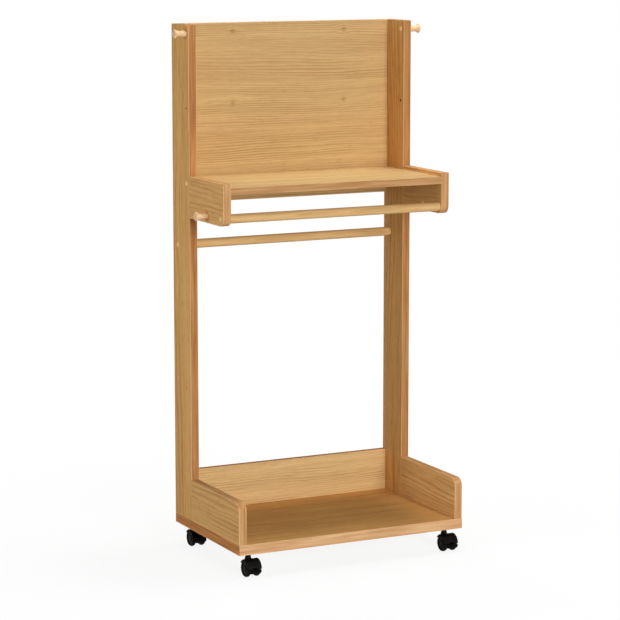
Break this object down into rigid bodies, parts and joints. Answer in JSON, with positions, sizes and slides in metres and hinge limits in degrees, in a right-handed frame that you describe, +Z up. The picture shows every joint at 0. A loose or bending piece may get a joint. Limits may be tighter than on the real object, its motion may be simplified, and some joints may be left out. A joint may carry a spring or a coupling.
{
  "type": "rolling clothes rack",
  "caption": "Low rolling clothes rack in oak-look board: base tray, two posts, shelf with back panel, two hanging rods, side pegs, and black hooded twin-wheel casters.",
  "frame": {"origin": "on the floor, below the centre of the whole footprint (pegs, base and caster brake levers included)", "axes": "+Z up, +X to the right seen from the front, front faces -Y"},
  "size_m": [0.662, 0.391, 1.28],
  "materials": {
    "oak_board": "satin oak-look laminate with fine grain and warm edge band",
    "rod_wood": "smooth satin wood-grain",
    "peg_wood": "smooth turned hardwood, clear satin",
    "dowel_wood": "raw beech",
    "cap_plastic": "pale wood-tone satin plastic",
    "hood_plastic": "black moulded plastic, fine texture",
    "wheel_plastic": "black nylon, slightly worn tread",
    "socket_plastic": "black plastic",
    "zinc_steel": "zinc-plated steel"
  },
  "bodies": {
    "rack": {"base_board": "oak_board", "base_screws": "zinc_steel", "bracket_dowels": "dowel_wood", "caster_sockets": "socket_plastic", "front_hanging_rod": "rod_wood", "left_base_wing": "oak_board", "left_bracket_peg": "peg_wood", "left_post": "oak_board", "left_shelf_bracket": "oak_board", "lower_back_panel": "oak_board", "panel_dowels": "dowel_wood", "peg_screws": "zinc_steel", "rear_hanging_rod": "rod_wood", "right_base_wing": "oak_board", "right_bracket_peg": "peg_wood", "right_post": "oak_board", "right_shelf_bracket": "oak_board", "rod_screws": "zinc_steel", "screw_caps": "cap_plastic", "shelf_board": "oak_board", "shelf_dowels": "dowel_wood", "shelf_screws": "zinc_steel", "top_left_peg": "peg_wood", "top_right_peg": "peg_wood", "upper_back_panel": "oak_board", "wing_dowels": "dowel_wood"},
    "front_left_caster": {"front_left_caster_hood": "hood_plastic", "front_left_caster_stem": "zinc_steel", "front_left_caster_axle": "zinc_steel"},
    "front_left_caster_wheel_left": {"front_left_caster_wheel_left": "wheel_plastic"},
    "front_left_caster_wheel_right": {"front_left_caster_wheel_right": "wheel_plastic"},
    "front_left_caster_brake_lever": {"front_left_caster_brake_lever": "hood_plastic"},
    "front_right_caster": {"front_right_caster_hood": "hood_plastic", "front_right_caster_stem": "zinc_steel", "front_right_caster_axle": "zinc_steel"},
    "front_right_caster_wheel_left": {"front_right_caster_wheel_left": "wheel_plastic"},
    "front_right_caster_wheel_right": {"front_right_caster_wheel_right": "wheel_plastic"},
    "front_right_caster_brake_lever": {"front_right_caster_brake_lever": "hood_plastic"},
    "rear_left_caster": {"rear_left_caster_hood": "hood_plastic", "rear_left_caster_stem": "zinc_steel", "rear_left_caster_axle": "zinc_steel"},
    "rear_left_caster_wheel_left": {"rear_left_caster_wheel_left": "wheel_plastic"},
    "rear_left_caster_wheel_right": {"rear_left_caster_wheel_right": "wheel_plastic"},
    "rear_right_caster": {"rear_right_caster_hood": "hood_plastic", "rear_right_caster_stem": "zinc_steel", "rear_right_caster_axle": "zinc_steel"},
    "rear_right_caster_wheel_left": {"rear_right_caster_wheel_left": "wheel_plastic"},
    "rear_right_caster_wheel_right": {"rear_right_caster_wheel_right": "wheel_plastic"}
  },
  "joints": [
    {"name": "front_left_swivel", "type": "hinge", "parent": "rack", "child": "front_left_caster", "pos_m": [-0.265, -0.1515, 0.055], "axis": [0, 0, 1], "continuous": true},
    {"name": "front_left_wheel_left_spin", "type": "hinge", "parent": "front_left_caster", "child": "front_left_caster_wheel_left", "pos_m": [-0.265, -0.1675, 0.02], "axis": [1, 0, 0], "continuous": true},
    {"name": "front_left_wheel_right_spin", "type": "hinge", "parent": "front_left_caster", "child": "front_left_caster_wheel_right", "pos_m": [-0.265, -0.1675, 0.02], "axis": [1, 0, 0], "continuous": true},
    {"name": "front_left_brake_press", "type": "hinge", "parent": "front_left_caster", "child": "front_left_caster_brake_lever", "pos_m": [-0.265, -0.17988, 0.01826], "axis": [1, 0, 0], "range_deg": [0, 12]},
    {"name": "front_right_swivel", "type": "hinge", "parent": "rack", "child": "front_right_caster", "pos_m": [0.265, -0.1515, 0.055], "axis": [0, 0, 1], "continuous": true},
    {"name": "front_right_wheel_left_spin", "type": "hinge", "parent": "front_right_caster", "child": "front_right_caster_wheel_left", "pos_m": [0.265, -0.1675, 0.02], "axis": [1, 0, 0], "continuous": true},
    {"name": "front_right_wheel_right_spin", "type": "hinge", "parent": "front_right_caster", "child": "front_right_caster_wheel_right", "pos_m": [0.265, -0.1675, 0.02], "axis": [1, 0, 0], "continuous": true},
    {"name": "front_right_brake_press", "type": "hinge", "parent": "front_right_caster", "child": "front_right_caster_brake_lever", "pos_m": [0.265, -0.17988, 0.01826], "axis": [1, 0, 0], "range_deg": [0, 12]},
    {"name": "rear_left_swivel", "type": "hinge", "parent": "rack", "child": "rear_left_caster", "pos_m": [-0.265, 0.1675, 0.055], "axis": [0, 0, 1], "continuous": true},
    {"name": "rear_left_wheel_left_spin", "type": "hinge", "parent": "rear_left_caster", "child": "rear_left_caster_wheel_left", "pos_m": [-0.265, 0.1515, 0.02], "axis": [1, 0, 0], "continuous": true},
    {"name": "rear_left_wheel_right_spin", "type": "hinge", "parent": "rear_left_caster", "child": "rear_left_caster_wheel_right", "pos_m": [-0.265, 0.1515, 0.02], "axis": [1, 0, 0], "continuous": true},
    {"name": "rear_right_swivel", "type": "hinge", "parent": "rack", "child": "rear_right_caster", "pos_m": [0.265, 0.1675, 0.055], "axis": [0, 0, 1], "continuous": true},
    {"name": "rear_right_wheel_left_spin", "type": "hinge", "parent": "rear_right_caster", "child": "rear_right_caster_wheel_left", "pos_m": [0.265, 0.1515, 0.02], "axis": [1, 0, 0], "continuous": true},
    {"name": "rear_right_wheel_right_spin", "type": "hinge", "parent": "rear_right_caster", "child": "rear_right_caster_wheel_right", "pos_m": [0.265, 0.1515, 0.02], "axis": [1, 0, 0], "continuous": true}
  ]
}
